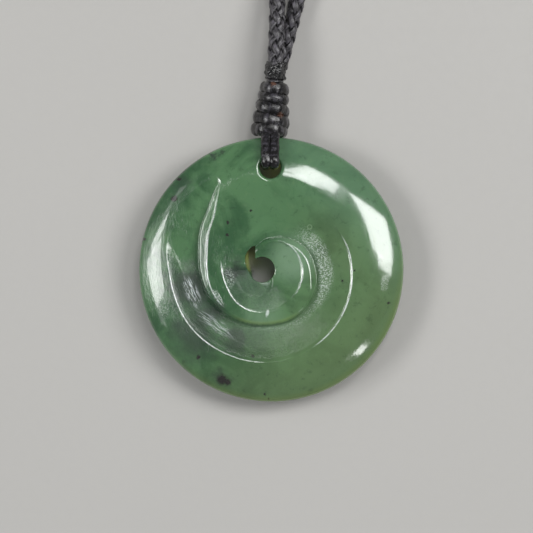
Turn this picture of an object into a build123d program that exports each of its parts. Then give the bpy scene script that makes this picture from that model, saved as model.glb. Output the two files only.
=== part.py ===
from build123d import *
import math
import os

# A carved jade disc on a waxed neck cord, lying face up. Millimetres.
# The origin is the middle of the disc's flat back, +Z is up through its face,
# and +Y runs from the disc towards the neck cord.

# Disc blank
disc_radius = 20.0
disc_thickness = 6.4
back_flat_radius = 9.5
crown_inset = 7.0  # where the face is highest, in from the disc's radius
centre_dip = 0.8  # how far the face falls from the crown to the middle
rim_top_inset = 0.8  # upper edge of the rounded rim, in from the disc's radius
rim_back_inset = 1.0  # lower edge of the rounded rim, in from the disc's radius
rim_top_drop = 1.8  # upper edge of the rim, below the crown
rim_back_rise = 2.7  # lower edge of the rim, above the flat back

# Carving
valley_depth = 1.7  # at the foot of the koru's steepest stretch
dish_depth = 1.5  # round the eye hole
dish_core = 0.2  # inner end of the dish's sections, lost in the eye hole
wall_lean = 0.15  # how far the foot of the carved wall stands out
lip_width = 1.0  # bevel along the arm's outer edge
lip_drop = 0.35
tool_overrun = 1.0  # the carving's outer slope, carried on past its border
tool_overrun_rise = 0.5
tool_clearance = 1.5  # above the crown

# Eye hole, with the slit that opens beside it
eye_radius = 1.92
eye_offset = 1.4  # from the disc's middle, towards -X
slit_margin = 0.41  # the slit's tip, out past the end of the koru's edge
slit_tip_angle = 127.8
slit_tip_width = 0.3
slit_bulge = 0.65  # how far the slit's outer wall stands out past the eye hole
slit_heel_angle = 200  # where the slit runs back into the eye hole
slit_nose_angle = 122

# Suspension hole
hole_margin = 0.2  # between the loop's edges and the hole's wall
hole_side = -0.15  # its shift along X from the disc's middle
hole_inset = 4.65  # its middle, in from the disc's radius
hole_flare = 0.5

# Loop through the suspension hole: two waxed strands side by side
strand_width = 2.8
strand_thickness = 1.25
strand_gap = 0.1
loop_corner = 1.0
loop_over_rim = 0.95  # the loop's middle, above the rim's upper edge
loop_slope = 0.42  # its rise for each millimetre towards the hole
loop_leg_spread = 1.3  # its legs inside the binding's end, above and below the axis

# Binding: turns of waxed cord wound on the loop's legs, then a melted collar
binding_gap = 0.45  # from the disc's rim to the first turn
binding_length = 8.4
binding_half_width = 2.78
binding_half_height = 2.75
binding_floor_gap = 0.05
waist = 0.88  # between two turns, as a share of their size across
collar_length = 2.7
collar_half_width = 1.6
collar_half_height = 2.62
binding_lean = 0.085  # sideways shift of the axis for each millimetre along it
seat_gap = 0.1  # between pieces that bear on each other

# Neck cord
cord_diameter = 2.7

# The koru, once and a third round: the arm's outer edge and the valley's outer
# border as shares of the disc's radius, the depth at the wall's foot as a share of
# valley_depth, and the bevel as a share of lip_width. Angles run anticlockwise.
VALLEY = [
    # angle, edge, border, depth, lip
    (119, 0.768, 0.835, 0.05, 0.15),
    (135, 0.653, 0.860, 0.30, 0.45),
    (155, 0.592, 0.845, 0.60, 1.00),
    (180, 0.535, 0.773, 0.88, 1.00),
    (210, 0.495, 0.749, 1.00, 0.60),
    (240, 0.450, 0.720, 0.96, 0.35),
    (270, 0.411, 0.690, 0.86, 0.35),
    (300, 0.392, 0.662, 0.78, 0.35),
    (330, 0.360, 0.631, 0.74, 0.45),
    (360, 0.320, 0.607, 0.72, 0.60),
    (390, 0.295, 0.592, 0.68, 0.60),
    (420, 0.262, 0.600, 0.62, 0.50),
    (450, 0.232, 0.610, 0.55, 0.35),
    (480, 0.204, 0.580, 0.50, 0.15),
]

# The valley carried on inside the arm as the dish round the eye: its outer border
# as a share of the disc's radius, and its depth at the middle as a share of dish_depth.
DISH = [
    # angle, border, depth
    (480, 0.580, 0.62),
    (505, 0.500, 0.72),
    (531, 0.382, 0.82),
    (560, 0.359, 0.90),
    (590, 0.360, 0.96),
    (620, 0.325, 1.00),
    (650, 0.282, 1.00),
    (680, 0.248, 1.00),
    (720, 0.230, 1.00),
    (760, 0.212, 1.00),
    (800, 0.208, 0.92),
    (840, 0.192, 0.80),
]

# The binding's turns, from the disc up: each one's width as a share of
# binding_length, and its size across as a share of the first one's.
TURNS = [
    # width, across
    (0.19, 1.00),
    (0.23, 0.99),
    (0.19, 0.93),
    (0.16, 0.85),
    (0.23, 0.78),
]

# A turn's barrel shape: how far along the turn, and how full it is there
BARREL = [(0, waist), (0.2, 0.965), (0.5, 1.0), (0.8, 0.965)]

# The neck cord's route over the surface, from the collar, round and back to it.
# Each point's y is measured from the collar's upper end.
NECK_ROUTE = [
    (0.60, 0.45, 4.00),
    (0.85, 4.55, 3.60),
    (0.95, 10.85, 2.10),
    (-0.50, 20.35, 1.35),
    (-6.50, 34.35, 1.35),
    (-22.00, 53.35, 1.35),
    (-48.00, 77.35, 1.35),
    (-71.00, 109.35, 1.35),
    (-79.00, 148.35, 1.35),
    (-69.00, 187.35, 1.35),
    (-40.00, 220.35, 1.35),
    (2.00, 235.35, 1.35),
    (46.00, 229.35, 1.35),
    (82.00, 205.35, 1.35),
    (103.00, 167.35, 1.35),
    (103.00, 124.35, 1.35),
    (82.00, 86.35, 1.35),
    (50.00, 59.35, 1.35),
    (22.00, 38.35, 1.35),
    (9.50, 22.35, 1.35),
    (4.60, 11.85, 1.35),
    (2.85, 5.15, 1.38),
    (1.35, 0.45, 1.42),
]


def arc_radius(run, rise):
    """Radius of an arc that leaves a level line and rises this much over this run."""
    return (run**2 + rise**2) / (2 * rise)


crown_radius = disc_radius - crown_inset
face_bend = arc_radius(crown_inset - rim_top_inset, rim_top_drop)
back_bend = arc_radius(disc_radius - rim_back_inset - back_flat_radius, rim_back_rise)
middle_bend = arc_radius(crown_radius, centre_dip)


def face_height(r):
    """Height of the uncarved face at a distance from the disc's middle."""
    bend = middle_bend if r < crown_radius else face_bend
    return disc_thickness - bend + math.sqrt(bend**2 - (r - crown_radius) ** 2)


def radial_plane(angle):
    """Upright plane through the disc's axis: its x runs outwards and its y up."""
    turn = math.radians(angle)
    return Plane(
        origin=(0, 0, 0),
        x_dir=(math.cos(turn), math.sin(turn), 0),
        z_dir=(math.sin(turn), -math.cos(turn), 0),
    )


def binding_plane(along):
    """Plane across the binding's axis, this far from its lower end."""
    height = binding_floor_gap + binding_half_height
    return Plane(
        origin=(hole_side + binding_lean * along, binding_start + along, height),
        x_dir=(1, 0, 0),
        z_dir=(0, 1, 0),
    )


def route_radii(points):
    """Largest arc at each corner that leaves a tenth of the shorter run straight."""
    radii = []
    for before, corner, after in zip(points, points[1:], points[2:]):
        into = Vector(corner) - Vector(before)
        out = Vector(after) - Vector(corner)
        half_turn = math.radians(into.get_angle(out)) / 2
        radii.append(0.45 * min(into.length, out.length) / math.tan(half_turn))
    return radii


sky = disc_thickness + tool_clearance
hole_offset = disc_radius - hole_inset
hole_radius = strand_width / 2 + hole_margin
binding_start = disc_radius + binding_gap
collar_start = binding_length + seat_gap
rim_top = (disc_radius - rim_top_inset, disc_thickness - rim_top_drop)
rim_back = (disc_radius - rim_back_inset, rim_back_rise)
rim_middle = (disc_radius, (rim_top[1] + rim_back[1]) / 2)

with BuildPart() as koru_disc:
    # Blank: flat in the middle of the back, domed towards a rounded rim
    with BuildSketch(Plane.XZ):
        with BuildLine():
            Line((0, 0), (back_flat_radius, 0))
            TangentArc((back_flat_radius, 0), rim_back, tangent=(1, 0))
            ThreePointArc(rim_back, rim_middle, rim_top)
            TangentArc((crown_radius, disc_thickness), rim_top, tangent=(1, 0))
            TangentArc((crown_radius, disc_thickness), (0, disc_thickness - centre_dip), tangent=(-1, 0))
            Line((0, disc_thickness - centre_dip), (0, 0))
        make_face()
    revolve(axis=Axis.Z)

    # Valley: steep against the arm, rising gently to its outer border
    for angle, edge, border, depth, lip in VALLEY:
        edge_r = edge * disc_radius
        border_r = border * disc_radius
        bevel = lip * lip_width
        drop = lip_drop * min(1, lip) * min(1, 2 * depth)
        crest = Vector(edge_r - bevel, face_height(edge_r - bevel))
        brink = Vector(edge_r, face_height(edge_r) - drop)
        lead = crest + (crest - brink) * 0.5
        foot = (edge_r + wall_lean, face_height(edge_r) - drop - depth * (valley_depth - lip_drop))
        rise = (border_r, face_height(border_r))
        far = (border_r + tool_overrun, face_height(border_r) + tool_overrun_rise)
        with BuildSketch(radial_plane(angle)):
            with BuildLine():
                Polyline((lead.X, sky), (lead.X, lead.Y), (brink.X, brink.Y), foot)
                ThreePointArc(foot, rise, far)
                Polyline(far, (far[0], sky), (lead.X, sky))
            make_face()
    loft(mode=Mode.SUBTRACT)

    # Dish: the valley's last turn, closing on the eye hole
    for angle, border, depth in DISH:
        border_r = border * disc_radius
        floor = face_height(dish_core) - depth * dish_depth
        far = (border_r + tool_overrun, face_height(border_r) + tool_overrun_rise)
        with BuildSketch(radial_plane(angle)):
            with BuildLine():
                Polyline(far, (far[0], sky), (dish_core, sky), (dish_core, floor))
                ThreePointArc((dish_core, floor), (border_r, face_height(border_r)), far)
            make_face()
    loft(mode=Mode.SUBTRACT)

    # Eye hole and the slit that opens beside the koru's tip
    eye = Vector(-eye_offset, 0)
    heel = eye + Vector(eye_radius, 0).rotate(Axis.Z, slit_heel_angle)
    nose = eye + Vector(eye_radius, 0).rotate(Axis.Z, slit_nose_angle)
    koru_end = VALLEY[-1][1] * disc_radius
    tip = Vector(koru_end + slit_margin, 0).rotate(Axis.Z, slit_tip_angle)
    blunt = tip + Vector(slit_tip_width, 0)
    shoulder = Vector(-eye_offset - eye_radius - slit_bulge, tip.Y / 2)
    with BuildSketch():
        with Locations(eye):
            Circle(eye_radius)
        with BuildLine():
            ThreePointArc(tip, shoulder, heel)
            Polyline(heel, eye, nose, blunt, tip)
        make_face()
    extrude(amount=sky, mode=Mode.SUBTRACT)

    # Suspension hole, its mouths flared square to the domed face and back
    with Locations((hole_side, hole_offset, disc_thickness)):
        Hole(hole_radius)
    face_tilt = math.asin((hole_offset - crown_radius) / face_bend)
    back_tilt = math.asin((hole_offset - back_flat_radius) / back_bend)
    back_height = back_bend * (1 - math.cos(back_tilt))
    mouths = [
        Location((hole_side, hole_offset, face_height(hole_offset)), (-math.degrees(face_tilt), 0, 0)),
        Location((hole_side, hole_offset, back_height), (math.degrees(back_tilt) - 180, 0, 0)),
    ]
    with Locations(mouths):
        Cone(hole_radius, hole_radius + 2 * hole_flare, 2 * hole_flare, mode=Mode.SUBTRACT)
    koru_disc.part.label = "koru_disc"

with BuildPart() as hanging_loop:
    # Over the rim, down the hole and back under the rim, with both legs cut off
    # square where they meet the binding
    half = strand_thickness / 2
    end_y = binding_start - seat_gap
    leg_y = end_y + strand_thickness
    side_reach = strand_width / 2 - half
    hole_y = hole_offset + math.sqrt((hole_radius - strand_gap - half) ** 2 - side_reach**2)
    axis_z = binding_floor_gap + binding_half_height
    low_z = strand_gap / 2 + half
    rim_y = disc_radius - rim_top_inset
    rim_z = rim_top[1] + loop_over_rim
    route = [
        (hole_side, leg_y, axis_z + loop_leg_spread),
        (hole_side, rim_y, rim_z),
        (hole_side, hole_y, rim_z + (rim_y - hole_y) * loop_slope),
        (hole_side, hole_y, low_z),
        (hole_side, rim_y, low_z),
        (hole_side, leg_y, axis_z - loop_leg_spread),
    ]
    with BuildLine() as loop_path:
        FilletPolyline(*route, radius=[2 * loop_corner, loop_corner, loop_corner, 2 * loop_corner])
    with BuildSketch(Plane(loop_path.line @ 0, x_dir=(1, 0, 0), z_dir=loop_path.line % 0)):
        SlotOverall(strand_width, strand_thickness)
    sweep()
    split(bisect_by=Plane(origin=(0, end_y, 0), z_dir=(0, -1, 0)))
    hanging_loop.part.label = "hanging_loop"

with BuildPart() as binding:
    # Wound turns, each a barrel that runs from waist to waist
    along = 0
    for width, across in TURNS:
        for share, swell in BARREL:
            with BuildSketch(binding_plane((along + share * width) * binding_length)):
                Ellipse(binding_half_width * across * swell, binding_half_height * swell)
        along += width
    with BuildSketch(binding_plane(along * binding_length)):
        Ellipse(binding_half_width * across * waist, binding_half_height * waist)
    loft(ruled=True)
    binding.part.label = "binding"

with BuildPart() as end_collar:
    # Melted collar that closes the binding round the neck cord's two ends
    for share, swell in [*BARREL, (1, waist)]:
        with BuildSketch(binding_plane(collar_start + share * collar_length)):
            Ellipse(collar_half_width * swell, collar_half_height * swell)
    loft(ruled=True)
    end_collar.part.label = "end_collar"

with BuildPart() as neck_cord:
    # One loop of plaited cord, laid out on the surface
    collar_end = binding_start + collar_start + collar_length
    route = [(x, collar_end + y, z) for x, y, z in NECK_ROUTE]
    radii = route_radii(route)
    with BuildLine() as neck_path:
        FilletPolyline(*route, radius=radii)
    with BuildSketch(Plane(neck_path.line @ 0, z_dir=neck_path.line % 0)):
        Circle(cord_diameter / 2)
    sweep()
    neck_cord.part.label = "neck_cord"

os.makedirs("parts", exist_ok=True)
for piece in (koru_disc, hanging_loop, binding, end_collar, neck_cord):
    export_step(piece.part, f"parts/{piece.part.label}.step")

cord_section = math.pi * cord_diameter**2 / 4
cord_length = sum(edge.length for edge in neck_path.edges())
print("neck cord radii", [round(radius, 1) for radius in radii])
print("neck cord length", round(cord_length, 1))
print("neck cord volume over section times length", neck_cord.part.volume / cord_section / cord_length)
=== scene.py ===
"""A round jade koru pendant on a plaited waxed cord, lying face up on a pale table."""
import math

import bpy
import numpy as np
from bpy.props import FloatProperty, FloatVectorProperty, IntProperty, PointerProperty
from bpy.types import Operator, Panel, PropertyGroup
from mathutils import Matrix, Vector


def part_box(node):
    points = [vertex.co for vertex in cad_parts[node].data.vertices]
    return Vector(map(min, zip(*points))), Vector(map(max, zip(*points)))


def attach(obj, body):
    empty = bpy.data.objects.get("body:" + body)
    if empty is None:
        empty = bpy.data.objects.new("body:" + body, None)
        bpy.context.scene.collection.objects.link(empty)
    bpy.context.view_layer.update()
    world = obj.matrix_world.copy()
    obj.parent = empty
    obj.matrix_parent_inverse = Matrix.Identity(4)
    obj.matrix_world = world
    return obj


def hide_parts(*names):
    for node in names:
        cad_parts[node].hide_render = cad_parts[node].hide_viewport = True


bl_info = {
    "name": "Koru Pendant",
    "version": (1, 0, 0),
    "blender": (4, 5, 0),
    "location": "3D View > Sidebar > Koru",
    "description": "Builds a carved jade pendant on a plaited cord",
    "category": "Add Mesh",
}

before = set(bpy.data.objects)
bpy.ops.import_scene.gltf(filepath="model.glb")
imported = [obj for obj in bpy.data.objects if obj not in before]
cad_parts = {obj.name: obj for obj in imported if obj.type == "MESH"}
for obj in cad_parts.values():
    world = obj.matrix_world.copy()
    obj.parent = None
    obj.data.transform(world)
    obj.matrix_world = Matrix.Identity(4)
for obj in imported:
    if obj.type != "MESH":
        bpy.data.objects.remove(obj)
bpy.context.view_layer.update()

# Shapes below are worked out in millimetres and become metres as their mesh is made
MM = 0.001
BODY = "root"
disc_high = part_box("koru_disc")[1]
collar_low, collar_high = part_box("end_collar")
DISC_RADIUS = disc_high[0] / MM
DISC_THICKNESS = disc_high[2] / MM
COLLAR_START = collar_low[1] / MM
COLLAR_END = collar_high[1] / MM
UP = np.array([0.0, 0.0, 1.0])

# The blank: a crowned face, a rounded rim and a domed back with a flat in its middle
CROWN_RADIUS = DISC_RADIUS - 7.0
CENTRE_DIP = 0.8
FACE_RADIUS = DISC_RADIUS - 0.8
FACE_DROP = 1.8
BACK_RADIUS = DISC_RADIUS - 1.0
BACK_RISE = 2.7
FLAT_RADIUS = 9.5

# The carving
VALLEY_DEPTH = 1.7
DISH_DEPTH = 1.5
DISH_CORE = 0.2
LIP_SLOPE = 0.32
LIP_GAIN = 0.30
WALL_LEAN = 0.25
BOWL_BEND = 0.4
CREST_SLOPE = 0.70
CREST_DROP = 0.10
SLOPE_LOSS = 0.44
DISH_SLOPE_LOSS = 0.45
FLOOR_SLOPE = 0.04
DISH_FLOOR_SLOPE = 0.06
FLOOR_ROUNDING = 0.26

# Eye hole with its slit, and the small hole that the loop passes through
EYE_RADIUS = 1.92
EYE_PLACE = (-1.4, 0.0)
SLIT_TIP = (-2.75, 3.55)
SLIT_BLUNT = (-2.45, 3.55)
SLIT_SHOULDER = (-3.97, 1.775)
SLIT_HEEL_ANGLE = 200
SLIT_NOSE_ANGLE = 122
SLIT_MIDDLE = (-2.65, 1.25)
SLIT_LEAN = 0.7
EYE_ROUNDING = 0.13
FOOT_ROUNDING = 0.16  # of the eye's lower edge
HOLE_PLACE = (-0.15, 15.35)
HOLE_RADIUS = 1.6
HOLE_ROUNDING = 0.5

# The koru over once and a third round: the arm's edge and the valley's border as shares
# of the disc's radius, the depth as a share of VALLEY_DEPTH, and in millimetres the
# bevel's width and how softly the border turns. Angles run anticlockwise.
VALLEY = np.array([
    # angle, edge, border, depth, bevel, softness
    (100, 0.850, 0.850, 0.00, 0.05, 0.35),
    (119, 0.768, 0.835, 0.00, 0.05, 0.35),
    (121, 0.752, 0.839, 0.12, 0.22, 0.35),
    (123, 0.738, 0.842, 0.18, 0.42, 0.35),
    (128, 0.700, 0.849, 0.28, 0.80, 0.35),
    (135, 0.657, 0.855, 0.42, 1.08, 0.35),
    (150, 0.606, 0.852, 0.58, 1.22, 0.35),
    (165, 0.558, 0.820, 0.76, 1.15, 0.18),
    (180, 0.533, 0.773, 0.98, 0.98, 0.03),
    (195, 0.513, 0.756, 1.16, 0.72, 0.03),
    (210, 0.494, 0.749, 1.20, 0.60, 0.03),
    (225, 0.470, 0.736, 1.16, 0.40, 0.03),
    (240, 0.449, 0.720, 1.06, 0.28, 0.03),
    (255, 0.427, 0.708, 0.90, 0.25, 0.04),
    (270, 0.411, 0.693, 0.86, 0.25, 0.06),
    (285, 0.404, 0.677, 0.82, 0.25, 0.06),
    (300, 0.394, 0.660, 0.78, 0.25, 0.04),
    (315, 0.378, 0.645, 0.76, 0.30, 0.03),
    (330, 0.360, 0.631, 0.74, 0.45, 0.03),
    (345, 0.342, 0.619, 0.73, 0.75, 0.03),
    (360, 0.322, 0.608, 0.72, 0.73, 0.03),
    (375, 0.308, 0.599, 0.70, 0.68, 0.04),
    (390, 0.295, 0.584, 0.68, 0.70, 0.10),
    (405, 0.280, 0.585, 0.65, 0.75, 0.35),
    (420, 0.263, 0.590, 0.62, 0.70, 0.60),
    (435, 0.250, 0.592, 0.58, 0.50, 0.80),
    (450, 0.231, 0.590, 0.55, 0.35, 0.80),
    (465, 0.219, 0.586, 0.52, 0.25, 0.80),
    (480, 0.204, 0.580, 0.50, 0.20, 0.80),
    (500, 0.194, 0.560, 0.50, 0.20, 0.80),
    (520, 0.186, 0.540, 0.50, 0.20, 0.80),
])

# The valley carried on inside the arm as the dish round the eye
DISH = np.array([
    # angle, border, depth, softness
    (440, 0.592, 0.36, 0.80),
    (460, 0.588, 0.36, 0.80),
    (480, 0.580, 0.36, 0.80),
    (500, 0.500, 0.40, 0.70),
    (516, 0.425, 0.46, 0.50),
    (531, 0.385, 0.52, 0.26),
    (545, 0.369, 0.58, 0.10),
    (560, 0.360, 0.62, 0.04),
    (587, 0.358, 0.64, 0.03),
    (600, 0.348, 0.64, 0.04),
    (612, 0.332, 0.64, 0.05),
    (630, 0.308, 0.65, 0.08),
    (650, 0.283, 0.66, 0.05),
    (670, 0.262, 0.66, 0.04),
    (690, 0.248, 0.66, 0.03),
    (720, 0.237, 0.66, 0.03),
    (740, 0.231, 0.66, 0.03),
    (760, 0.228, 0.66, 0.03),
    (785, 0.226, 0.66, 0.05),
    (800, 0.216, 0.66, 0.10),
    (840, 0.192, 0.64, 0.10),
    (880, 0.172, 0.60, 0.10),
])

# Where each round of the spiral is taken to begin, inside and outside the eye's slit
START_ANGLE = 119
SLIT_START_ANGLE = 150
SLIT_START_RADIUS = 4.25

# The stone's mesh: columns round it, rings from the eye to a plain circle and from there
# to the rim, how near a ring moves with one that is put on a crest, rings round the rim,
# and rings from a left-out block to the small hole's mouth
COLUMNS = 520
CORE_RADIUS = 4.75
CORE_RINGS = 30
FACE_RINGS = 113
SNAP_REACH = 4
RIM_RINGS = 10
APPROACH_RINGS = 7

# Cells left out for the small hole, as half the columns and the rings, on the face from
# this radius out and on the back from this ring in. Both have as many points round them.
FACE_BLOCK = (15, 40)
FACE_BLOCK_RADIUS = 12.7
BACK_BLOCK = (28, 14)
BACK_BLOCK_RING = 2

# The neck cord's route over the table from the collar, round and back to it, in
# millimetres, with y measured from the collar's upper end
NECK_ROUTE = [
    (0.60, 0.45, 4.00), (0.85, 4.55, 3.60), (0.95, 10.85, 2.10), (-0.50, 20.35, 1.35),
    (-6.50, 34.35, 1.35), (-22.00, 53.35, 1.35), (-48.00, 77.35, 1.35), (-71.00, 109.35, 1.35),
    (-79.00, 148.35, 1.35), (-69.00, 187.35, 1.35), (-40.00, 220.35, 1.35), (2.00, 235.35, 1.35),
    (46.00, 229.35, 1.35), (82.00, 205.35, 1.35), (103.00, 167.35, 1.35), (103.00, 124.35, 1.35),
    (82.00, 86.35, 1.35), (50.00, 59.35, 1.35), (22.00, 38.35, 1.35), (9.50, 22.35, 1.35),
    (4.60, 11.85, 1.35), (2.85, 5.15, 1.38), (1.35, 0.45, 1.42),
]

# Centre of the hanging loop: from inside the binding over the rim, down the small hole
# and back under the rim, as (y, z)
LOOP_ROUTE = [
    (21.60, 4.20), (20.40, 4.85), (19.20, 5.62), (17.60, 6.30), (16.35, 6.78),
    (15.76, 6.45), (15.72, 5.40), (15.72, 3.40), (15.72, 1.70), (15.90, 0.86),
    (16.90, 0.68), (18.60, 0.70), (19.90, 0.86), (20.80, 1.20), (21.60, 1.55),
]

# The wound turns from the disc up: where each one's middle crosses the front, its
# sideways shift, half its size across and half its width along the binding
TURNS = np.array([
    # along, sideways, half across, half width
    (20.95, -0.14, 2.78, 1.02),
    (22.70, 0.06, 2.74, 1.04),
    (24.50, 0.26, 2.62, 0.92),
    (25.95, 0.44, 2.40, 0.80),
    (27.45, 0.60, 2.16, 0.98),
])
BINDING_HEIGHT = 2.8
BINDING_HALF_HEIGHT = 2.72
BINDING_CORD = 0.66  # half its thickness

# The binding's and the collar's axis starts here and leans to the right by this slope
BINDING_FOOT = 20.45
BINDING_LEAN = 0.085

# Half the distance between the loop's strands, and half of each section's size, as
# (across, up)
STRANDS_APART = 0.61
LOOP_SECTION = (0.79, 0.64)
COLLAR_SECTION = (1.56, 2.45)
PLAIT_SECTION = (0.6, 0.25)

# How far a plaited strand lies from the cord's middle, and its swing in and out
PLAIT_REACH = 0.90
PLAIT_SWING = 0.16
PLAIT_RINGS = 1790

# Ground patches of the stone, with white grit painted as ground stone and as the sparkle of
# light on it, as (strength, x, y, half width, half length, lean of the long way in degrees):
# beside the eye, on the arm, and on the crown at both sides, where the grit is a painted
# ragged end of a highlight
GROUND_SPARKLE_PATCHES = [
    (1.0, -6.3, -1.3, 0.9, 1.8, 102),
    (1.0, -8.1, -4.3, 0.6, 1.8, -60),
    (0.6, -16.3, -5.9, 1.0, 2.1, -70),
    (0.45, 17.1, -2.2, 0.8, 1.5, 82),
]
# A painted glint on the coil's lower edge, then the scored and the brushed patch of the
# valley, whose pale strokes are painted glints, with the same columns but for the strength
PAINTED_GLINT = (-0.6, -6.6, 0.3, 0.7, 75)
SCORED_GLINT = (-12.0, -3.4, 1.2, 3.0, -66)
BRUSHED_GLINT = (-8.6, -8.2, 1.2, 3.8, -35)

# Dark inclusions in the stone, as (x, y, size) in millimetres
SPECKS = [
    (-7.4, -16.6, 1.15), (-6.6, -17.0, 0.75), (-14.05, 13.65, 0.36), (-13.75, 13.7, 0.30),
    (-14.7, 10.7, 0.66), (-19.2, 4.6, 0.38), (-6.55, 7.05, 0.36), (-3.1, 8.9, 0.24),
    (12.5, -0.15, 0.24), (10.7, -1.7, 0.26), (17.7, -5.0, 0.32), (-2.8, -13.0, 0.38),
    (-1.0, -18.8, 0.30), (-0.4, -19.5, 0.26), (-11.0, -13.2, 0.45), (-6.6, 5.2, 0.35),
]

# Grey-black clouds in the stone, as (x, y, size, strength)
CLOUDS = [
    (-13.2, -3.0, 4.6, 0.75), (-11.5, -9.8, 5.2, 0.70), (-8.0, -16.0, 1.7, 0.45),
    (-5.6, -0.2, 2.4, 0.80), (-8.6, -6.6, 2.6, 0.55), (-5.5, -11.0, 2.8, 0.60),
    (-9.3, 17.0, 1.1, 0.75), (-7.9, 17.6, 0.8, 0.60), (-13.5, 13.2, 1.8, 0.35),
]

# A tiny pit in the stone, and brown flakes caught in the binding as (x, y, size)
PIT = (5.78, 6.44)
FLAKES = [(0.2, 28.0, 0.5), (1.4, 23.3, 0.6)]

# Each thread's roughness, fibres round a strand, their twist, the depth of its grooves in
# metres and how strong its pale sheen is, painted for the wax's reflections and partly wax bloom
THREADS = {
    "loop_thread": (0.16, 16, 0.25, 0.00004, 0.25),
    "binding_thread": (0.22, 22, 0.12, 0.00005, 0.22),
    "plait_thread": (0.40, 10, 0.05, 0.00004, 0.3),
}

# How far each light hangs from the stone, in metres
LIGHT_REACH = 0.6

# Windows and lamps round the stone, as (name, compass angle, tilt from straight up, width
# and height in metres, roll, brightness in watts a square metre)
LIGHTS = [
    ("right_window", 20, 45.2, 0.325, 0.222, -112, 25.0),
    ("right_pane", 2, 44.3, 0.043, 0.225, -12, 23.0),
    ("upper_window", 64.3, 28.3, 0.135, 0.178, -12, 25.0),
    ("upper_pane", 74, 16.2, 0.09, 0.078, 48, 25.0),
    ("left_window", 182, 49, 0.215, 0.22, -65, 25.0),
    ("left_pane", 162, 51.4, 0.20, 0.058, -33, 25.0),
    ("left_ends", 172, 50, 0.66, 0.08, 0, 5.0),
    ("low_lamp", 318, 55, 0.05, 0.10, 10, 25.0),
]

# The table: how far it lies below the stone's back, its sides and its rings' radii
TABLE_DROP = 0.02
TABLE_SIDES = 96
TABLE_RINGS = np.array([60.0, 300, 1500])

# Daylight from all round, and the point over which the camera hangs
SKY_COLOUR = (0.9, 0.95, 1.0, 1.0)
SKY_STRENGTH = 0.19
CAMERA_PLACE = (-0.73 * MM, 0.47 * MM, 3.65 * MM)


# Shapes

def smooth_table(table, column, angle):
    """Value of a table's column at each angle: between two rows a cubic that meets each
    row with the slope from the row before it to the row after it."""
    knots, values = table[:, 0], table[:, column]
    slopes = np.gradient(values, knots)
    row = np.clip(np.searchsorted(knots, angle) - 1, 0, len(knots) - 2)
    gap = knots[row + 1] - knots[row]
    t = np.clip((angle - knots[row]) / gap, 0, 1)
    start = (2 * t**3 - 3 * t**2 + 1) * values[row] + (t**3 - 2 * t**2 + t) * gap * slopes[row]
    end = (3 * t**2 - 2 * t**3) * values[row + 1] + (t**3 - t**2) * gap * slopes[row + 1]
    return start + end


def ease(t):
    """0 below 0, 1 above 1, and 3t2 - 2t3 between."""
    t = np.clip(t, 0, 1)
    return t * t * (3 - 2 * t)


def span(value, first, last, rise, fall):
    """1 between two values, eased up from 0 over the rise past the first and down to 0
    over the fall before the last."""
    return ease((value - first) / rise) * ease((last - value) / fall)


def lower_of(a, b, softness):
    """The lower of two heights, rounded where they cross: a quarter of the softness is
    taken off at the crossing, falling with the square of the distance to it."""
    near = np.maximum(softness - np.abs(a - b), 0) / softness
    return np.minimum(a, b) - near**2 * softness / 4


def arc_radius(run, rise):
    """Radius of an arc that leaves a level line and rises this much over this run."""
    return (run**2 + rise**2) / (2 * rise)


FACE_BEND = arc_radius(FACE_RADIUS - CROWN_RADIUS, FACE_DROP)
MIDDLE_BEND = arc_radius(CROWN_RADIUS, CENTRE_DIP)
BACK_BEND = arc_radius(BACK_RADIUS - FLAT_RADIUS, BACK_RISE)


def blank_height(r):
    """Height of the uncarved face: an arc that falls from the crown to the rim, and a
    flatter one that falls from the crown to the middle."""
    bend = np.where(r < CROWN_RADIUS, MIDDLE_BEND, FACE_BEND)
    return DISC_THICKNESS - bend + np.sqrt(np.maximum(bend**2 - (r - CROWN_RADIUS) ** 2, 0))


def back_height(r):
    """Height of the back: level inside its flat, then an arc that rises to the rim."""
    out = np.clip(r - FLAT_RADIUS, 0, BACK_BEND)
    return BACK_BEND - np.sqrt(BACK_BEND**2 - out**2)


def mouth_round(distance):
    """Depth of the small hole's rounded mouth, a quarter circle, at a distance from its axis."""
    inside = np.clip((HOLE_RADIUS + HOLE_ROUNDING - distance) / HOLE_ROUNDING, 0, 1)
    return HOLE_ROUNDING * (1 - np.sqrt(1 - inside**2))


def spiral_angle(x, y):
    """Angle about the disc's middle, counted on along the spiral from where it starts."""
    start = np.where(np.hypot(x, y) < SLIT_START_RADIUS, SLIT_START_ANGLE, START_ANGLE)
    return (np.degrees(np.arctan2(y, x)) - start) % 360 + start


def brow(past, slope, share=1.0):
    """Drop below a crest at a distance past it: none before it, steep for a hair's
    breadth after it, and then with the given slope. All of it is scaled by the share."""
    drop = lower_of(CREST_SLOPE * past, CREST_DROP + slope * past, 0.02)
    return -lower_of(0 * past, -drop, 0.02) * share


def hollow_height(r, foot, border, crisp, wall_slope, floor_slope):
    """Height of a hollow from its foot, an (r, height) point, out to its border. With
    crisp at 0 its depth under the blank runs out along a parabola that steepens outwards.
    With crisp at 1 the floor meets a straight wall in a small curve."""
    top = blank_height(border)
    t = (r - foot[0]) / (border - foot[0])
    sink = np.maximum(blank_height(foot[0]) - foot[1], 0)
    bowl = blank_height(r) - sink * (1 - t) * (1 + BOWL_BEND * t)
    inside = border - r
    wall = top - np.where(inside > 0, brow(inside, wall_slope), CREST_SLOPE * inside)
    floor = foot[1] + floor_slope * (r - foot[0])
    return bowl - (lower_of(-floor, -wall, FLOOR_ROUNDING) + bowl) * crisp


def crispness(soft):
    """1 for a border that hardly softens, 0 for a soft one."""
    return 1 - ease((soft - 0.05) / 0.25)


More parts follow.
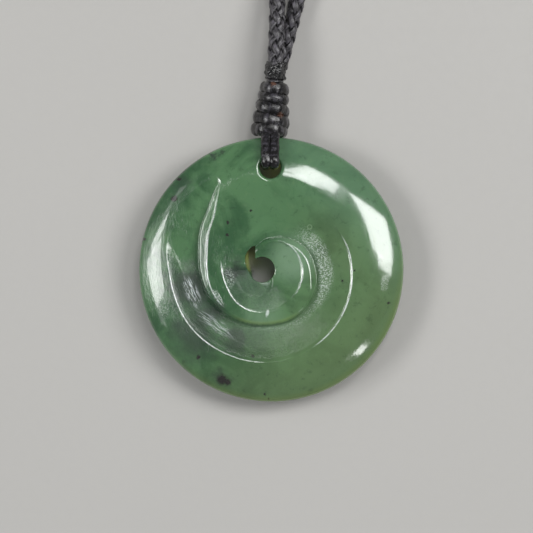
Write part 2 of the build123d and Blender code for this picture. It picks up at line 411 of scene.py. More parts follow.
def dish_height(r, turn):
    """Height of the dish, a hollow with its foot in the middle."""
    border = smooth_table(DISH, 1, turn) * DISC_RADIUS
    core = np.full_like(r, DISH_CORE)
    floor = blank_height(core) - smooth_table(DISH, 2, turn) * DISH_DEPTH
    slope = CREST_SLOPE - DISH_SLOPE_LOSS * ease((turn - 575) / 65)
    soft = smooth_table(DISH, 3, turn)
    return hollow_height(r, (core, floor), border, crispness(soft), slope, DISH_FLOOR_SLOPE)


def face_height(x, y):
    """Height of the carved face: the lowest of the blank, the valley that falls steeply
    outside the arm's edge and rises to its border, the bevel along that edge, and the
    dish inside the arm."""
    r = np.hypot(x, y)
    turn = spiral_angle(x, y)
    blank = blank_height(r)
    edge = smooth_table(VALLEY, 1, turn) * DISC_RADIUS
    border = smooth_table(VALLEY, 2, turn) * DISC_RADIUS
    depth = np.maximum(smooth_table(VALLEY, 3, turn), 0)
    bevel = smooth_table(VALLEY, 4, turn)
    soft = smooth_table(VALLEY, 5, turn)
    crisp = crispness(soft)
    soft = np.minimum(soft, 0.01 + 0.9 * depth + ease((turn - 150) / 30))
    # the bevel falls away from its crest to the edge, less where the valley is shallow
    fall = (LIP_SLOPE + LIP_GAIN * ease((turn - 235) / 80)) * np.minimum(1, 3 * depth)
    share = ease(depth / 0.15)
    brink = blank_height(edge) - brow(bevel, fall, share)
    arm = blank - brow(r - edge + bevel, fall, share)
    # the valley, which turns into the dish over its last stretch
    foot = (edge + WALL_LEAN, brink - depth * (VALLEY_DEPTH - 0.3))
    slope = CREST_SLOPE - SLOPE_LOSS * ease((turn - 240) / 100)
    valley = hollow_height(r, foot, border, crisp, slope, FLOOR_SLOPE)
    valley += (dish_height(r, turn) - valley) * ease((turn - 440) / 40)
    wall = ease((r - edge) / WALL_LEAN)
    outside = brink + (valley - brink) * wall
    height = np.where(r < edge, arm, lower_of(blank, outside, soft))
    dish_soft = smooth_table(DISH, 3, turn + 360)
    height = lower_of(height, dish_height(r, turn + 360), dish_soft)
    return height - mouth_round(np.hypot(x - HOLE_PLACE[0], y - HOLE_PLACE[1]))


def face_normals(x, y):
    """Unit normals of the carved face, from its rise over a short step each way."""
    step = 0.02
    rise_x = (face_height(x + step, y) - face_height(x - step, y)) / (2 * step)
    rise_y = (face_height(x, y + step) - face_height(x, y - step)) / (2 * step)
    normals = np.stack([-rise_x, -rise_y, np.ones_like(x)], -1)
    return normals / np.linalg.norm(normals, axis=-1, keepdims=True)


def bearings(offsets):
    """Angle of each (x, y) offset, anticlockwise from x."""
    return np.arctan2(offsets[:, 1], offsets[:, 0])


def eye_outline(aims):
    """Points of the eye hole's outline, slit included, where lines from the slit's middle
    towards the given points cross it."""
    middle = np.array(SLIT_MIDDLE)
    eye = np.array(EYE_PLACE)
    round_hole = np.radians(np.linspace(SLIT_NOSE_ANGLE, SLIT_HEEL_ANGLE - 360, 400))
    circle = eye + EYE_RADIUS * np.stack([np.cos(round_hole), np.sin(round_hole)], -1)
    # the slit's outer wall is a quadratic curve from the heel through the shoulder to the tip
    t = np.linspace(0, 1, 120)[1:, None]
    heel, tip = circle[-1], np.array(SLIT_TIP)
    bend = 2 * np.array(SLIT_SHOULDER) - (heel + tip) / 2
    outer = (1 - t) ** 2 * heel + 2 * t * (1 - t) * bend + t**2 * tip
    blunt = np.array(SLIT_BLUNT)
    end = np.linspace(tip, blunt, 8)[1:]
    inner = np.linspace(blunt, circle[0], 120)[1:-1]
    points = np.concatenate([circle, outer, end, inner])
    bearing = bearings(points - middle)
    order = np.argsort(bearing)
    reach = np.linalg.norm(points - middle, axis=1)
    aim = bearings(aims - middle)
    found = np.interp(aim, bearing[order], reach[order], period=2 * math.pi)
    return middle + found[:, None] * np.stack([np.cos(aim), np.sin(aim)], -1)


def snapped_rings(rings, features):
    """Ring radii for each column, with the nearest ring moved onto each feature and the
    rings beside it moved by less, to none at SNAP_REACH rings away."""
    step = rings[1] - rings[0]
    index = np.arange(len(rings))
    radii = np.repeat(rings[None, :], features.shape[1], 0)
    for feature in features:
        nearest = np.rint((feature - rings[0]) / step)
        room = (nearest >= SNAP_REACH) & (nearest <= len(rings) - 1 - SNAP_REACH)
        offset = np.where(room, feature - rings[0] - nearest * step, 0)
        share = np.clip(1 - np.abs(index - nearest[:, None]) / SNAP_REACH, 0, 1)
        radii += offset[:, None] * share
    return radii


def grid_quads(index):
    """Quads over a grid of vertex numbers whose last row meets its first, turned to face
    outwards."""
    following = np.roll(index, -1, axis=0)
    corners = [index[:, :-1], index[:, 1:], following[:, 1:], following[:, :-1]]
    return np.stack(corners, -1).reshape(-1, 4)


def make_piece(name, points, quads, triangles=(), normals=None, uv=None, attributes=None):
    """A smooth mesh object from points in millimetres, whose loops and faces are set as
    whole arrays. Normals are (vectors, numbers of the points that have them), and uv and
    the named attributes hold a value for each point."""
    points = np.asarray(points, float).reshape(-1, 3) * MM
    quads = np.asarray(quads, np.int32).reshape(-1, 4)
    triangles = np.asarray(triangles, np.int32).reshape(-1, 3)
    corners = np.concatenate([quads.ravel(), triangles.ravel()])
    sizes = np.concatenate([np.full(len(quads), 4), np.full(len(triangles), 3)])
    mesh = bpy.data.meshes.new(name)
    mesh.vertices.add(len(points))
    mesh.vertices.foreach_set("co", points.astype(np.float32).ravel())
    mesh.loops.add(len(corners))
    mesh.loops.foreach_set("vertex_index", corners.astype(np.int32))
    mesh.polygons.add(len(sizes))
    mesh.polygons.foreach_set("loop_start", (np.cumsum(sizes) - sizes).astype(np.int32))
    mesh.update(calc_edges=True)
    if mesh.validate(verbose=True):
        raise RuntimeError(f"{name}: the mesh had faults")
    mesh.shade_smooth()
    if uv is not None:
        layer = mesh.uv_layers.new(name="along")
        layer.uv.foreach_set("vector", uv[corners].astype(np.float32).ravel())
    for key, values in (attributes or {}).items():
        attribute = mesh.attributes.new(key, "FLOAT", "POINT")
        attribute.data.foreach_set("value", values.astype(np.float32))
    if normals is not None:
        given, known = normals
        every = np.empty(len(points) * 3, np.float32)
        mesh.vertex_normals.foreach_get("vector", every)
        every = every.reshape(-1, 3)
        every[known] = given
        mesh.normals_split_custom_set_from_vertices(every.tolist())
    piece = bpy.data.objects.new(name, mesh)
    bpy.context.scene.collection.objects.link(piece)
    return piece


def finish_piece(piece, material, node):
    """Gives a piece its material and the node that it stands for."""
    piece.data.materials.append(material)
    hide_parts(node)
    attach(piece, BODY)


def route_line(points, steps):
    """Points along the spline that has these points as its control points."""
    curve = bpy.data.curves.new("route", "CURVE")
    curve.dimensions = "3D"
    curve.resolution_u = steps
    spline = curve.splines.new("NURBS")
    spline.points.add(len(points) - 1)
    flat = [value * MM for point in points for value in (*point, 1 / MM)]
    spline.points.foreach_set("co", flat)
    spline.order_u = 3
    spline.use_endpoint_u = True
    holder = bpy.data.objects.new("route", curve)
    mesh = bpy.data.meshes.new_from_object(holder)
    line = np.empty(len(mesh.vertices) * 3, np.float32)
    mesh.vertices.foreach_get("co", line)
    bpy.data.meshes.remove(mesh)
    bpy.data.objects.remove(holder)
    bpy.data.curves.remove(curve)
    return line.reshape(-1, 3).astype(float) / MM


def distances(line):
    """How far along a line of points each one lies."""
    steps = np.linalg.norm(np.diff(line, axis=0), axis=1)
    return np.concatenate([[0], np.cumsum(steps)])


def resampled(line, stations):
    """Points at given distances along a line, each between its two nearest points."""
    lengths = distances(line)
    return np.stack([np.interp(stations, lengths, line[:, axis]) for axis in range(3)], -1)


def unit(vectors):
    """The vectors at length one."""
    return vectors / np.linalg.norm(vectors, axis=-1, keepdims=True)


def ripples(points, size, seed, waves=24):
    """Smooth uneven swelling from -1 to 1 or so: a sum of sine waves that run through
    space in chance directions, each about this long in millimetres."""
    chance = np.random.default_rng(seed)
    directions = unit(chance.normal(size=(waves, 3))) * (2 * math.pi / size)
    directions *= chance.uniform(0.6, 1.5, (waves, 1))
    offsets = chance.uniform(0, 2 * math.pi, waves)
    return np.sin(points @ directions.T + offsets).sum(-1) / math.sqrt(waves)


def strand_tube(line, outward, half_width, half_depth, sides, folds=None):
    """Rings of an oval section carried along a line of points. The section's depth lies
    along the outward direction, its width across it, and both may change on the way.
    Folds, as (number, turn at each point, size), swell it by a cosine round the section."""
    tangent = unit(np.gradient(line, axis=0))
    across = unit(np.cross(tangent, outward))
    depth = np.cross(across, tangent)
    around = np.linspace(0, 2 * math.pi, sides, endpoint=False)
    width = np.broadcast_to(half_width, len(line))[:, None, None]
    thick = np.broadcast_to(half_depth, len(line))[:, None, None]
    ring = across[:, None] * np.cos(around)[None, :, None] * width
    ring = ring + depth[:, None] * np.sin(around)[None, :, None] * thick
    if folds:
        number, turn, size = folds
        ring = ring * (1 + size * np.cos(number * around + turn[:, None]))[:, :, None]
    return line[:, None] + ring


def tube_faces(rings, sides, first=0):
    """Quads of a tube whose ends close on two added points, numbered after the rings."""
    index = first + np.arange(rings * sides).reshape(rings, sides).T
    quads = grid_quads(index)
    start, end = first + rings * sides, first + rings * sides + 1
    head, tail = index[:, 0], index[:, -1]
    caps = [np.stack([np.full(sides, start), head, np.roll(head, -1)], -1)]
    caps.append(np.stack([np.full(sides, end), np.roll(tail, -1), tail], -1))
    return quads, np.concatenate(caps)


def tube_mesh(tubes):
    """Points, quads, end triangles and (length, share round) pairs of several tubes, each
    an array of rings."""
    points, quads, triangles, along = [], [], [], []
    count = 0
    for rings in tubes:
        n, sides = rings.shape[:2]
        faces, caps = tube_faces(n, sides, count)
        middle = rings.mean(axis=1)
        length = distances(middle)
        share = np.linspace(0, 1, sides, endpoint=False)
        share = np.minimum(share, 1 - share) * 2
        grid = np.stack(np.broadcast_arrays(length[:, None], share[None, :]), -1)
        points += [rings.reshape(-1, 3), middle[:1], middle[-1:]]
        along += [grid.reshape(-1, 2), [[0, 0]], [[length[-1], 0]]]
        quads.append(faces)
        triangles.append(caps)
        count += n * sides + 2
    return [np.concatenate(part) for part in (points, quads, triangles, along)]


def add_cord(name, tubes, material, node):
    """A piece of tubes, with its material and the node that it stands for."""
    points, quads, ends, along = tube_mesh(tubes)
    finish_piece(make_piece(name, points, quads, ends, uv=along), material, node)


# The stone

def carving_lines(turn):
    """How far the arm's crest, its edge, the valley's border and the dish's border lie
    from the disc's middle, at each angle on the spiral."""
    edge = smooth_table(VALLEY, 1, turn) * DISC_RADIUS
    crest = edge - smooth_table(VALLEY, 4, turn)
    border = smooth_table(VALLEY, 2, turn) * DISC_RADIUS
    return crest, edge, border, smooth_table(DISH, 1, turn + 360) * DISC_RADIUS


def block_loop(index, columns, rings):
    """Vertex numbers round a block of the grid, from its first column and ring."""
    a, b = columns
    c, d = rings
    sides = index[a:b, c], index[b, c:d], index[b:a:-1, d], index[a, d:c:-1]
    return np.concatenate(sides)


def under_profile():
    """Radii and heights of the rings below the face: the rim, an arc through its upper
    edge, its widest ring and its lower edge, then the back inwards to the eye."""
    upper = (FACE_RADIUS, DISC_THICKNESS - FACE_DROP)
    lower = (BACK_RADIUS, BACK_RISE)
    swing = np.linspace(0, 1, RIM_RINGS + 2)[1:-1]
    rim_r = upper[0] + (lower[0] - upper[0]) * swing
    rim_z = upper[1] + (lower[1] - upper[1]) * swing
    rim_r = rim_r + (DISC_RADIUS - (upper[0] + lower[0]) / 2) * (1 - (2 * swing - 1) ** 2)
    # rings beside the small hole are evenly spaced
    near = [11.6, 10.5, 9.5, CORE_RADIUS]
    back_r = np.concatenate([[BACK_RADIUS, 18.5], np.linspace(18.0, 12.6, 15), near])
    return np.concatenate([rim_r, back_r]), np.concatenate([rim_z, back_height(back_r)])


def eye_wall(outline, gap, narrow, top):
    """Points and heights of the eye's wall, from its lower edge, rounded outwards along
    the gap to the first plain ring, up to the outline. Along the slit's outer side it
    leans in by SLIT_LEAN at the foot."""
    slit_side = ease((SLIT_MIDDLE[0] - outline[:, :1]) / 0.8)
    slit_side = slit_side * ease((SLIT_TIP[1] - outline[:, 1:]) / 1.8)
    inward = unit(np.array(EYE_PLACE) - outline) * SLIT_LEAN * slit_side
    spread = np.array([1.2, 0.5, 0.12, 0]) * FOOT_ROUNDING * narrow
    foot = (outline + inward)[:, None] + gap[:, None] * spread[:, :, None]
    foot_z = np.array([0, 0.125, 0.5, 1]) * FOOT_ROUNDING * np.ones((COLUMNS, 1))
    climb = np.array([0.3, 0.65])
    wall = outline[:, None] + inward[:, None] * (1 - climb[:, None])
    wall_z = FOOT_ROUNDING + (top[:, None] - FOOT_ROUNDING) * climb
    return np.concatenate([foot, wall], 1), np.concatenate([foot_z, wall_z], 1)


def hole_tube(points, top_loop, back_loop):
    """Rings of the small hole's tube, from the points round the face's block over the
    rounded mouth, down the shaft and over the lower mouth to the back's block. Gives the
    back's loop too, turned so that its points follow the face's."""
    count = len(top_loop)
    around = np.radians(-90 + (FACE_BLOCK[0] - np.arange(count)) * 360 / count)
    # the back's loop starts at the point that lies nearest below the face's first one
    bearing = np.degrees(bearings(points[back_loop, :2] - HOLE_PLACE))
    shift = np.argmin(np.abs((bearing - np.degrees(around[0]) + 180) % 360 - 180))
    back_loop = np.roll(back_loop, -shift)
    if ((bearing[shift] - bearing[(shift + 1) % count]) + 180) % 360 - 180 < 0:
        back_loop = np.roll(back_loop[::-1], 1)

    place = np.array(HOLE_PLACE)
    spoke = np.stack([np.cos(around), np.sin(around)], -1)
    mouth = place + (HOLE_RADIUS + HOLE_ROUNDING) * spoke
    bends = np.radians([15, 32, 50, 68, 90])
    curl = place + (HOLE_RADIUS + HOLE_ROUNDING * (1 - np.sin(bends)))[:, None, None] * spoke
    approach = np.linspace(0, 1, APPROACH_RINGS + 1)[1:, None, None]
    above, below = (
        np.concatenate([points[loop, :2] * (1 - approach) + mouth * approach, curl])
        for loop in (top_loop, back_loop)
    )
    below = below[::-1]
    above_z = face_height(above[..., 0], above[..., 1])
    below_z = back_height(np.linalg.norm(below, axis=-1))
    below_z = below_z + mouth_round(np.linalg.norm(below - place, axis=-1))
    share = np.array([0.25, 0.5, 0.75])[:, None]
    shaft_z = above_z[-1] + (below_z[0] - above_z[-1]) * share
    flat = np.concatenate([above, np.repeat(curl[-1:], len(share), 0), below])
    z = np.concatenate([above_z, shaft_z, below_z])
    return np.concatenate([flat, z[..., None]], -1), back_loop


def stone_surface():
    """The stone as one closed skin: rings from the eye's outline over the carved face,
    round the rim, under the back and up the eye's wall, with the small hole's tube let
    into both faces. With it come the normals where the face's own formula gives them."""
    turn = np.radians(START_ANGLE + 360 * np.arange(COLUMNS) / COLUMNS)
    ray = np.stack([np.cos(turn), np.sin(turn)], -1)

    # inner rings: from the eye's outline, rounded over, to a plain circle
    core = CORE_RADIUS * ray
    outline = eye_outline(core)
    gap = core - outline
    room = np.linalg.norm(gap, axis=1)[:, None]
    tight = np.minimum(1, room / 0.6)
    corner = np.array([0, 0.08, 0.3, 0.62, 1.0]) * EYE_ROUNDING * tight
    spread = np.linspace(0, 1, CORE_RINGS - 4)[1:]
    share = np.concatenate([corner, corner[:, -1:] + (room - corner[:, -1:]) * spread], 1)
    inner = outline[:, None] + gap[:, None] * (share / room)[:, :, None]

    # outer rings: plain circles, moved onto the carving's crests where one is near
    rings = np.linspace(CORE_RADIUS, FACE_RADIUS, FACE_RINGS)
    radii = snapped_rings(rings, np.array(carving_lines(np.degrees(turn))))
    face = np.concatenate([inner[:, :-1], ray[:, None] * radii[:, :, None]], 1)
    height = face_height(face[..., 0], face[..., 1])
    height[:, :5] -= EYE_ROUNDING * np.array([1, 0.6, 0.28, 0.07, 0]) * tight

    back_r, back_z = under_profile()
    wall, wall_z = eye_wall(outline, gap, tight / room, height[:, 0])
    flat = np.concatenate([face, ray[:, None] * back_r[:, None], wall], 1)
    z = np.concatenate([height, np.tile(back_z, (COLUMNS, 1)), wall_z], 1)
    points = np.concatenate([flat, z[:, :, None]], -1).reshape(-1, 3)
    index = np.arange(len(points)).reshape(COLUMNS, -1)

    # cells left out for the small hole, above and below, and the tube between them
    bearing = math.degrees(math.atan2(HOLE_PLACE[1], HOLE_PLACE[0])) - START_ANGLE
    middle = round(bearing % 360 / 360 * COLUMNS)
    face_first = CORE_RINGS - 1 + int(np.searchsorted(rings, FACE_BLOCK_RADIUS))
    face_rings = face.shape[1]
    back_first = face_rings + RIM_RINGS + BACK_BLOCK_RING
    keep = np.ones(index.shape, bool)
    loops = []
    for (half, deep), first in ((FACE_BLOCK, face_first), (BACK_BLOCK, back_first)):
        columns, across = (middle - half, middle + half), (first, first + deep)
        keep[slice(*columns), slice(*across)] = False
        loops.append(block_loop(index, columns, across))
    quads = grid_quads(np.concatenate([index, index[:, :1]], 1))[keep.ravel()]
    tube, back_loop = hole_tube(points, *loops)
    base = len(points)
    tube_index = base + np.arange(tube.shape[0] * tube.shape[1]).reshape(tube.shape[:2])
    tube_index = np.concatenate([loops[0][None], tube_index, back_loop[None]]).T
    quads = np.concatenate([quads, grid_quads(tube_index)])
    points = np.concatenate([points, tube.reshape(-1, 3)])

    # the formula gives the normals from past the eye's rounding to before the rim, and of
    # the tube's first rings
    exact = np.zeros(len(points), bool)
    exact[index[:, 5:face_rings - 1]] = True
    exact[base:base + APPROACH_RINGS * tube.shape[1]] = True

    # points left in the two blocks are dropped, and the rest are numbered anew
    used = np.zeros(len(points), bool)
    used[quads] = True
    number = np.cumsum(used) - 1
    known = np.flatnonzero(exact & used)
    given = face_normals(points[known, 0], points[known, 1])
    return points[used], number[quads], (given, number[known])


def leaning_patch(x, y, middle_x, middle_y, across, along, lean):
    """1 inside an oval patch and 0 past its edge. Its long way leans by this many degrees
    from x, and the two lengths are half its width and half its length."""
    turn = math.radians(lean)
    off_x, off_y = x - middle_x, y - middle_y
    forward = off_x * math.cos(turn) + off_y * math.sin(turn)
    sideways = off_y * math.cos(turn) - off_x * math.sin(turn)
    return ease(2 * (1 - np.hypot(forward / along, sideways / across)))


def stone_masks(points):
    """For each point: how thin the stone is there, for a painted glow of light through it, how
    much painted glow comes through a hole's wall, how much painted highlight lies on a crest,
    how rough the carving tool left it, how much white grit is painted there as ground stone and
    its sparkle, and how much painted glint lies in the valley's tool marks."""
    x, y, z = points.T
    r = np.hypot(x, y)
    turn = spiral_angle(x, y)
    crest_line, edge, border, dish = carving_lines(turn)
    face = z > 3

    # the valley's and the dish's rough floors
    across = (r - edge) / np.maximum(border - edge, 0.5)
    floor = span(across, 0, 0.98, 0.2, 0.16) * span(turn, 165, 330, 20, 70)
    inner = span(r, 2.0, dish, 1.0, 0.3) * span(turn, 165, 310, 25, 60)
    tooled = np.where(r < edge, inner, floor) * (z > 2)

    # thin places, given a painted yellow-green glow of light coming through: the rim at the
    # lower right, and the arm's lower lip
    rim = ease((r - DISC_RADIUS + 1.3) / 1.2) * ease((0.5 * x - y) / DISC_RADIUS)
    lip = ease(1 - np.abs(r - edge + 0.2) / 0.5) * span(turn, 225, 310, 20, 25)

    # walls with light behind them, painted as a glow: the slit's outer one and the small hole's
    # right one
    slit_x, slit_y = SLIT_SHOULDER
    wall = ease(1.2 - np.hypot(x - slit_x - 0.2, (y - slit_y + 0.6) / 2.4) / 0.9)
    shaft = ease(1 - (np.hypot(x - HOLE_PLACE[0], y - HOLE_PLACE[1]) - HOLE_RADIUS) / 0.4)
    shaft = shaft * ease((x - HOLE_PLACE[0]) / 1.2)
    glow = np.maximum(wall, shaft) * ease((face_height(x, y) - z) / 0.3)

    # the ground strip beside the coil, which widens on its way, and the ground patches, both
    # painted with white grit as ground stone and as the sparkle of light on it
    widening = ease((turn - 300) / 60)
    strip = span(r, edge + 0.2, edge + 1.9 + 1.5 * widening, 0.8, 1.6) * (z > 2)
    frost_and_sparkle = strip * (0.6 + 0.4 * widening) * span(turn, 255, 425, 45, 35)
    for strength, *patch in GROUND_SPARKLE_PATCHES:
        frost_and_sparkle = np.maximum(frost_and_sparkle, strength * leaning_patch(x, y, *patch) * face)

    # painted highlights along the carving's crests, and the painted glint on the coil's lower edge
    crest = 0.7 * leaning_patch(x, y, *PAINTED_GLINT)
    for line, first, last, strength in (
        (crest_line, 126, 220, 1.0),
        (crest_line, 364, 414, 0.7),
        (border, 170, 240, 1.0),
        (border, 225, 268, 0.45),
        (border, 296, 388, 1.0),
        (dish, 168, 252, 0.8),
        (dish, 312, 422, 0.9),
    ):
        near = ease(1 - np.abs(r - line) / 0.12) * strength
        crest = np.maximum(crest, near * span(turn, first, last, 12, 12))
    return {
        "thin": np.maximum(rim, lip),
        "crest": crest * face,
        "glow": glow,
        "tooled": np.maximum(tooled, 0.6 * frost_and_sparkle),
        "frost_and_sparkle": frost_and_sparkle,
        # painted glints along the tool marks of the scored and the brushed patch
        "scored_glint": leaning_patch(x, y, *SCORED_GLINT) * face,
        "brushed_glint": 0.45 * leaning_patch(x, y, *BRUSHED_GLINT) * face,
    }


# The cords

def hanging_strands():
    """Two waxed strands side by side along the loop's route, each an oval tube with
    uneven swelling, set so close that they press together all along."""
    line = route_line([(HOLE_PLACE[0], y, z) for y, z in LOOP_ROUTE], 24)
    stations = np.linspace(0, distances(line)[-1], 150)
    middle = resampled(line, stations)
    side = np.array([1.0, 0.0, 0.0])
    outward = unit(np.cross(np.gradient(middle, axis=0), side))
    share = stations / stations[-1]
    width, depth = LOOP_SECTION
    tubes = []
    for hand, seed in ((-1, 3), (1, 8)):
        wander = 0.04 * np.sin(9 * share + seed)
        path = middle + side * (hand * STRANDS_APART + wander)[:, None]
        path = path + outward * (0.05 * np.sin(12 * share + 2 * seed))[:, None]
        lumps = 1 + 0.035 * ripples(path, 1.6, seed)
        folds = (7, 3 * stations * hand, 0.02)
        tubes.append(strand_tube(path, outward, width * lumps, depth * lumps, 26, folds))
    return tubes


def binding_axis(y):
    """Points of the line that the binding and the collar are strung on, for each y."""
    x = HOLE_PLACE[0] + BINDING_LEAN * (y - BINDING_FOOT)
    return np.stack([x, y, np.full_like(y, BINDING_HEIGHT)], -1)


def wound_cord():
    """The binding: one waxed cord carried round the loop's legs from the disc up, an
    oval path that climbs a turn at a time, and a plain core inside it."""
    turns = len(TURNS)
    at = np.linspace(-0.2, turns - 0.3, 110 * turns)
    theta = 2 * math.pi * at
    knots = np.arange(turns) + 0.25
    along, shift, half_across, half_width = (np.interp(at, knots, row) for row in TURNS.T)
    # the first turn rises a little where it passes over the loop
    over = np.exp(-((np.cos(theta) * half_across / 1.3) ** 2)) * (np.sin(theta) > 0)
    along = along + 0.45 * over * ease(1.2 - at)
    x = HOLE_PLACE[0] + shift + (half_across - BINDING_CORD) * np.cos(theta)
    z = BINDING_HEIGHT + (BINDING_HALF_HEIGHT - BINDING_CORD) * np.sin(theta)
    line = np.stack([x, along, z], -1)
    line = line + 0.08 * np.stack([ripples(line, 2.5, seed) for seed in (4, 5, 6)], -1)
    outward = np.stack([np.cos(theta), np.zeros_like(theta), np.sin(theta)], -1)
    # both ends run out to a rounded point
    ends = np.minimum(1, np.sqrt(np.minimum(at - at[0] + 0.01, at[-1] - at + 0.01) / 0.08))
    lumps = (1 + 0.09 * ripples(line, 1.8, 7)) * ends
    folds = (9, 0.5 * (theta * half_across), 0.018)
    cord = strand_tube(line, outward, half_width * lumps, BINDING_CORD * lumps, 28, folds)
    core_line = binding_axis(np.linspace(20.75, 29.0, 12))
    core_width = np.interp(core_line[:, 1], [20.7, 29.0], [1.75, 1.3])
    return [cord, strand_tube(core_line, UP, core_width, 1.9, 32)]


def collar_surface():
    """The melted collar: an oval barrel along the binding's axis, pushed in and out by
    uneven swelling of two sizes."""
    rings, sides = 90, 120
    along = np.linspace(0, 1, rings)
    y = COLLAR_START - 0.3 + along * (COLLAR_END - COLLAR_START + 0.25)
    fullness = np.minimum(1, 0.55 + 1.6 * np.sqrt(np.minimum(along, 1 - along)))
    middle = binding_axis(y)
    width, depth = COLLAR_SECTION
    tube = strand_tube(middle, UP, width * fullness, depth * fullness, sides)
    flat = tube.reshape(-1, 3)
    lumps = 0.13 * ripples(flat, 2.0, 12) + 0.07 * ripples(flat, 0.75, 13)
    return [tube + unit(tube - middle[:, None]) * lumps.reshape(rings, sides, 1)]


def plait_strands(strands, lead):
    """The neck cord: strands wound round the route, half of them each way, once round in
    each lead. Between two crossings a strand moves on by a turn shared by their number,
    slowly where it lies on top and fast where it dives under, and its distance from the
    middle swings in and out by a cosine."""
    points = [(x, COLLAR_END + y, z) for x, y, z in NECK_ROUTE]
    # both ends reach into the collar
    points[0] = (points[0][0], COLLAR_END - 0.9, points[0][2] + 0.1)
    points[-1] = (points[-1][0] - 0.1, COLLAR_END - 0.9, points[-1][2])
    line = route_line(points, 40)
    # stations lie closer together near both ends, where the cord is seen closest
    even = np.linspace(-1, 1, PLAIT_RINGS)
    bunched = even * 0.93 + 0.07 * np.sign(even) * (1 - (1 - np.abs(even)) ** 6)
    stations = (bunched + 1) / 2 * distances(line)[-1]
    middle = resampled(line, stations)
    tangent = unit(np.gradient(middle, stations, axis=0))
    side = unit(np.cross(tangent, UP))
    up = np.cross(side, tangent)
    crossing = stations * strands / lead
    half = 2 * math.pi / strands
    tubes = []
    for number in range(strands):
        hand = 1 if number % 2 else -1
        place = 2 * math.pi * (number // 2) / (strands / 2)
        phase = crossing + (0 if hand > 0 else 1)
        turned = half * (crossing - 0.35 * np.sin(math.pi * phase) / math.pi)
        angle = place + hand * turned
        radial = side * np.cos(angle)[:, None] + up * np.sin(angle)[:, None]
        reach = PLAIT_REACH + PLAIT_SWING * np.cos(math.pi * phase)
        tubes.append(strand_tube(middle + radial * reach[:, None], radial, *PLAIT_SECTION, 6))
    return tubes


# Shaders

class Graph:
    """A node tree under construction: each call adds one node and wires its inputs."""

    def __init__(self, tree):
        self.tree = tree

    def wire(self, node, inputs):
        """Links or sets a node's inputs, given as sockets or plain values."""
        for key, value in inputs.items():
            if isinstance(value, bpy.types.NodeSocket):
                self.tree.links.new(value, node.inputs[key])
            else:
                node.inputs[key].default_value = value

    def node(self, kind, inputs=None, **settings):
        """One node with its settings and inputs."""
        made = self.tree.nodes.new("ShaderNode" + kind)
        for key, value in settings.items():
            setattr(made, key, value)
        self.wire(made, inputs or {})
        return made

    def maths(self, operation, first, second=0.0, clamp=False):
        """Output of one sum."""
        values = {0: first, 1: second}
        return self.node("Math", values, operation=operation, use_clamp=clamp).outputs[0]

    def plus(self, first, second, clamp=False):
        """Sum of two values."""
        return self.maths("ADD", first, second, clamp)

    def minus(self, first, second):
        """The first value less the second."""
        return self.maths("SUBTRACT", first, second)

    def times(self, first, second, clamp=False):
        """Product of two values."""
        return self.maths("MULTIPLY", first, second, clamp)

    def larger(self, first, second):
        """The larger of two values."""
        return self.maths("MAXIMUM", first, second)

    def vector(self, operation, inputs, output="Vector"):
        """Output of one sum on vectors."""
        return self.node("VectorMath", inputs, operation=operation).outputs[output]

    def coords(self):
        """Places on the piece in its own frame, in metres."""
        return self.node("TexCoord").outputs["Object"]

    def mask(self, name):
        """The values that the mesh holds under this name."""
        return self.node("Attribute", attribute_name=name).outputs["Fac"]

    def noise(self, coords, scale, detail=3.0, roughness=0.5, distortion=0.0, output="Fac"):
        """Output of a noise, from 0 to 1, or three of them as its colour."""
        values = {"Vector": coords, "Scale": scale, "Detail": detail, "Roughness": roughness}
        values["Distortion"] = distortion
        return self.node("TexNoise", values).outputs[output]

    def fit(self, value, low, high, to_low=0.0, to_high=1.0):
        """A value eased from one range into another, held at its ends."""
        values = {0: value, 1: low, 2: high, 3: to_low, 4: to_high}
        return self.node("MapRange", values, interpolation_type="SMOOTHSTEP").outputs[0]

    def mix(self, share, first, second):
        """Output of two colours mixed."""
        return self.node("Mix", {0: share, 6: first, 7: second}, data_type="RGBA").outputs[2]

    def layers(self, colour, *coats):
        """A colour with others laid over it in turn, each as (mask, colour)."""
        for mask, over in coats:
            colour = self.mix(mask, colour, over)
        return colour

    def place(self, coords, location=(0, 0, 0), scale=(1, 1, 1), rotation=(0, 0, 0)):
        """Coordinates moved, turned and scaled."""
        values = {"Vector": coords, "Location": location, "Scale": scale, "Rotation": rotation}
        return self.node("Mapping", values).outputs[0]

    def bump(self, height, distance, strength=1.0):
        """Normals of a bump that rises by the height times the distance, in metres."""
        values = {"Height": height, "Strength": strength, "Distance": distance}
        return self.node("Bump", values).outputs[0]

    def ragged(self, coords, scale, amount, detail=4.0):
        """Coordinates pushed about by a noise, so that round blots on them are ragged."""
        noise = self.noise(coords, scale, detail, 0.6, output="Color")
        centred = self.vector("SUBTRACT", {0: noise, 1: (0.5, 0.5, 0.5)})
        pushed = self.vector("SCALE", {0: centred, 3: amount * MM})
        return self.vector("ADD", {0: coords, 1: pushed})

    def blot(self, coords, x, y, size, hard):
        """Mask of one round blot, full inside a share of its size and out at its edge."""
        flat = self.place(coords, location=(-x * MM, -y * MM, 0), scale=(1, 1, 0))
        gap = self.vector("LENGTH", {0: flat}, "Value")
        return self.fit(gap, size * MM, size * MM * hard)

    def blots(self, coords, rows, hard):
        """The strongest of several blots, as (x, y, size) or (x, y, size, strength)."""
        strongest = None
        for x, y, size, *strength in rows:
            mask = self.blot(coords, x, y, size, hard)
            for share in strength:
                mask = self.times(mask, share)
            strongest = mask if strongest is None else self.larger(strongest, mask)
        return strongest


